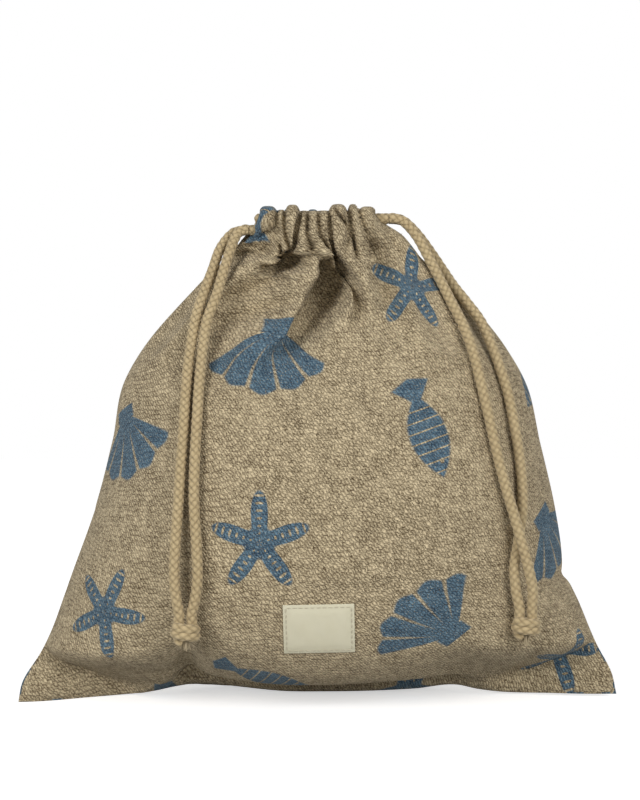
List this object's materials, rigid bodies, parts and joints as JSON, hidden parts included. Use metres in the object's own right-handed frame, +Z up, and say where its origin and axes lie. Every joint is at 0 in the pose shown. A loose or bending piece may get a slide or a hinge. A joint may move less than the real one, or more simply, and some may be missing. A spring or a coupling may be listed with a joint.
{
  "type": "drawstring bag",
  "caption": "Canvas drawstring bag, filled and standing, with a gathered mouth drawn shut by braided cords that end in knots and a bare sewn label.",
  "frame": {"origin": "middle of the base, on the surface that the bag stands on", "axes": "+Z up, +X to the right seen from the front, the labelled front faces -Y"},
  "size_m": [0.311, 0.1462, 0.254],
  "materials": {
    "canvas": "coarse natural weave, printed",
    "cord": "undyed braided cotton",
    "label": "smooth woven ribbon",
    "thread": "matt sewing thread"
  },
  "bodies": {
    "bag": {"front_panel": "canvas", "back_panel": "canvas", "left_side_seam": "canvas", "right_side_seam": "canvas", "bottom_seam": "canvas", "front_casing": "canvas", "front_casing_stitching": "thread", "label": "label", "label_stitching": "thread", "left_cord_front_run": "cord", "left_cord_turn": "cord", "left_cord_front_lead": "cord", "right_cord_front_run": "cord", "right_cord_turn": "cord", "right_cord_front_lead": "cord"},
    "mouth_back": {"back_casing": "canvas", "back_casing_stitching": "thread", "left_cord_back_run": "cord", "left_cord_back_lead": "cord", "right_cord_back_run": "cord", "right_cord_back_lead": "cord"},
    "left_tail": {"left_cord_front_tail": "cord", "left_cord_back_tail": "cord"},
    "left_knot": {"left_knot": "cord"},
    "right_tail": {"right_cord_front_tail": "cord", "right_cord_back_tail": "cord"},
    "right_knot": {"right_knot": "cord"}
  },
  "joints": [
    {"name": "mouth_open", "type": "slide", "parent": "bag", "child": "mouth_back", "axis": [0, 1, 0], "range_m": [0, 0.025], "deforming": ["left_cord_turn", "right_cord_turn", "left_cord_back_lead", "right_cord_back_lead"]},
    {"name": "left_swing", "type": "hinge", "parent": "bag", "child": "left_tail", "pos_m": [-0.03625, 0, 0.24375], "axis": [-1, 0, 0], "range_deg": [0, 165]},
    {"name": "left_draw", "type": "slide", "parent": "left_tail", "child": "left_knot", "axis": [0, 0, 1], "range_m": [0, 0.025], "deforming": ["left_cord_front_tail", "left_cord_back_tail"]},
    {"name": "right_swing", "type": "hinge", "parent": "bag", "child": "right_tail", "pos_m": [0.03625, 0, 0.24975], "axis": [-1, 0, 0], "range_deg": [0, 165]},
    {"name": "right_draw", "type": "slide", "parent": "right_tail", "child": "right_knot", "axis": [0, 0, 1], "range_m": [0, 0.025], "deforming": ["right_cord_front_tail", "right_cord_back_tail"]}
  ],
  "couplings": [
    {"joint": "left_draw", "follows": "mouth_open", "ratio": 1},
    {"joint": "right_draw", "follows": "mouth_open", "ratio": 1}
  ]
}
